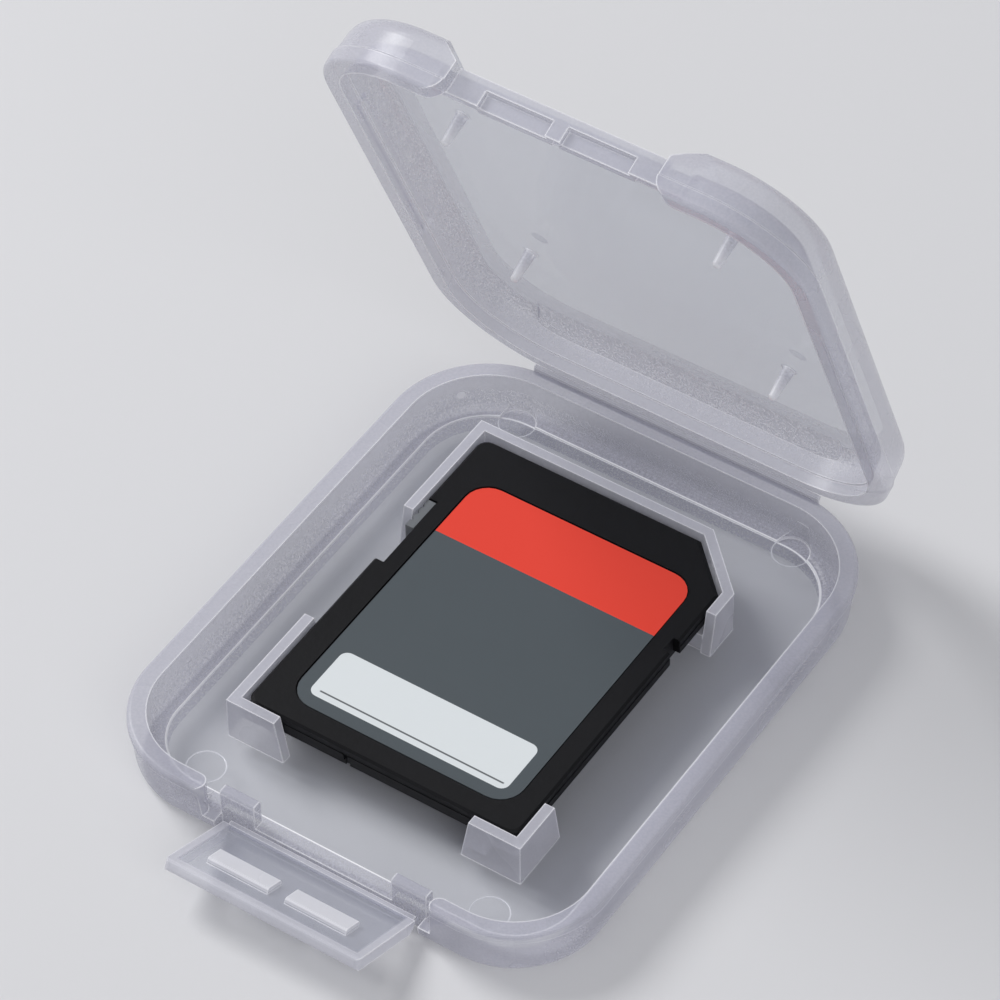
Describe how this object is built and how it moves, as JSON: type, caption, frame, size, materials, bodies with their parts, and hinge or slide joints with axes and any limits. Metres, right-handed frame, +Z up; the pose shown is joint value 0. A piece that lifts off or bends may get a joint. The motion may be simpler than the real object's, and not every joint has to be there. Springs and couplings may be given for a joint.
{
  "type": "memory card case",
  "caption": "Translucent clamshell pocket case for a memory card, with a living-hinge lid, front snap latch flap, locating ribs and a seated full-size card.",
  "frame": {"origin": "centre of the flat underside of the tray", "axes": "+X to the right seen from the latch, +Y to the lid's hinge, +Z up"},
  "size_m": [0.041, 0.0599, 0.0518],
  "materials": {
    "case_plastic": "translucent satin",
    "web_plastic": "translucent satin",
    "card_plastic": "fine matt",
    "slider_plastic": "satin",
    "board": "satin",
    "contacts": "plated",
    "chip_resin": "matt",
    "label_red": "satin film",
    "label_grey": "satin film",
    "label_white": "matt"
  },
  "bodies": {
    "tray": {"base_tray": "case_plastic", "lid_hinge_web": "web_plastic", "latch_hinge_web": "web_plastic"},
    "lid": {"lid": "case_plastic"},
    "latch_flap": {"latch_flap": "case_plastic"},
    "card": {"card_top_shell": "card_plastic", "card_bottom_shell": "card_plastic", "card_circuit_board": "board", "card_contacts": "contacts", "card_controller_chip": "chip_resin", "card_memory_chip": "chip_resin", "label_red_band": "label_red", "label_grey_field": "label_grey", "label_write_strip": "label_white"},
    "lock_slider": {"card_lock_slider": "slider_plastic"}
  },
  "joints": [
    {"name": "lid_hinge", "type": "hinge", "parent": "tray", "child": "lid", "pos_m": [0, 0.025, 0.00478], "axis": [-1, 0, 0], "range_deg": [-67, 113]},
    {"name": "latch_hinge", "type": "hinge", "parent": "tray", "child": "latch_flap", "pos_m": [0, -0.02385, 0.001], "axis": [-1, 0, 0], "range_deg": [-23, 67]},
    {"name": "card_lift", "type": "slide", "parent": "tray", "child": "card", "axis": [0, 0, 1], "range_m": [0, 0.016]},
    {"name": "lock_slide", "type": "slide", "parent": "card", "child": "lock_slider", "axis": [0, 1, 0], "range_m": [-0.0041, 0]}
  ]
}
